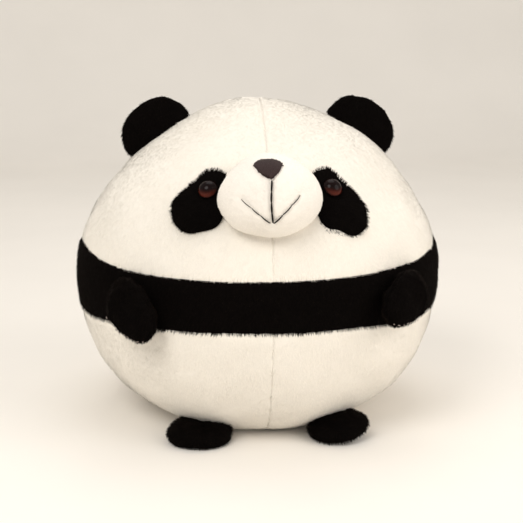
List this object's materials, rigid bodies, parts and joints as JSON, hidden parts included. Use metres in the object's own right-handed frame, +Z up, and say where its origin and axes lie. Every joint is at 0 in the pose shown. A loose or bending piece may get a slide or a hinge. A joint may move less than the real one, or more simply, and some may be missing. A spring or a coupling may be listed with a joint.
{
  "type": "plush toy",
  "caption": "Round stuffed panda toy: a white pile ball with a black band, muzzle, eye patches, safety eyes and small sewn ears, arms and feet.",
  "frame": {"origin": "on the floor, in the middle of the flat seat", "axes": "+Z up, the face looks along -Y, +X to the right as seen from the front"},
  "size_m": [0.2438, 0.2438, 0.2154],
  "materials": {
    "white_plush": "cream white plush with a soft short pile",
    "muzzle_plush": "cream white plush, pile shorn shorter",
    "black_plush": "black plush with a soft short pile and a faint sheen",
    "filling": "loose polyester fibre",
    "eye_amber": "polished clear brown plastic",
    "eye_black": "moulded black plastic",
    "washer": "moulded natural plastic",
    "nose_thread": "satin-stitched embroidery thread",
    "mouth_thread": "embroidery thread",
    "sewing_thread": "cream sewing thread"
  },
  "bodies": {
    "body": {"head_front_left": "white_plush", "head_front_right": "white_plush", "head_back_left": "white_plush", "head_back_right": "white_plush", "band_front": "black_plush", "band_back": "black_plush", "belly_front_left": "white_plush", "belly_front_right": "white_plush", "belly_back_left": "white_plush", "belly_back_right": "white_plush", "seat_panel": "white_plush", "body_stuffing": "filling", "closing_seam": "sewing_thread", "muzzle_cover": "muzzle_plush", "muzzle_stuffing": "filling", "nose_embroidery": "nose_thread", "mouth_embroidery": "mouth_thread", "eye_patch_left": "black_plush", "eye_patch_right": "black_plush", "eye_lens_left": "eye_amber", "eye_lens_right": "eye_amber", "eye_stem_left": "eye_black", "eye_stem_right": "eye_black", "eye_washer_left": "washer", "eye_washer_right": "washer"},
    "ear_left": {"ear_front_left": "black_plush", "ear_back_left": "black_plush", "ear_stuffing_left": "filling"},
    "arm_left": {"arm_upper_left": "black_plush", "arm_under_left": "black_plush", "arm_stuffing_left": "filling"},
    "foot_left": {"foot_upper_left": "black_plush", "foot_sole_left": "black_plush", "foot_stuffing_left": "filling"},
    "ear_right": {"ear_front_right": "black_plush", "ear_back_right": "black_plush", "ear_stuffing_right": "filling"},
    "arm_right": {"arm_upper_right": "black_plush", "arm_under_right": "black_plush", "arm_stuffing_right": "filling"},
    "foot_right": {"foot_upper_right": "black_plush", "foot_sole_right": "black_plush", "foot_stuffing_right": "filling"}
  },
  "joints": [
    {"name": "ear_left_fold", "type": "hinge", "parent": "body", "child": "ear_left", "pos_m": [-0.06919, 0, 0.19275], "axis": [0.8148, 0, 0.5798], "range_deg": [-35, 35], "stiffness_Nm_per_rad": 0.01},
    {"name": "ear_right_fold", "type": "hinge", "parent": "body", "child": "ear_right", "pos_m": [0.06919, 0, 0.19275], "axis": [0.8148, 0, -0.5798], "range_deg": [-35, 35], "stiffness_Nm_per_rad": 0.01},
    {"name": "arm_left_lift", "type": "hinge", "parent": "body", "child": "arm_left", "pos_m": [-0.09407, -0.08763, 0.10332], "axis": [-0.6114, 0.2766, -0.7414], "range_deg": [0, 60], "stiffness_Nm_per_rad": 0.02},
    {"name": "arm_right_lift", "type": "hinge", "parent": "body", "child": "arm_right", "pos_m": [0.09407, -0.08763, 0.10332], "axis": [-0.462, -0.1214, 0.8785], "range_deg": [0, 60], "stiffness_Nm_per_rad": 0.02},
    {"name": "foot_left_flex", "type": "hinge", "parent": "body", "child": "foot_left", "pos_m": [-0.0445, -0.0566, 0.0032], "axis": [1, 0, 0], "range_deg": [0, 25], "stiffness_Nm_per_rad": 0.02},
    {"name": "foot_right_flex", "type": "hinge", "parent": "body", "child": "foot_right", "pos_m": [0.0445, -0.0566, 0.0032], "axis": [1, 0, 0], "range_deg": [0, 25], "stiffness_Nm_per_rad": 0.02}
  ]
}
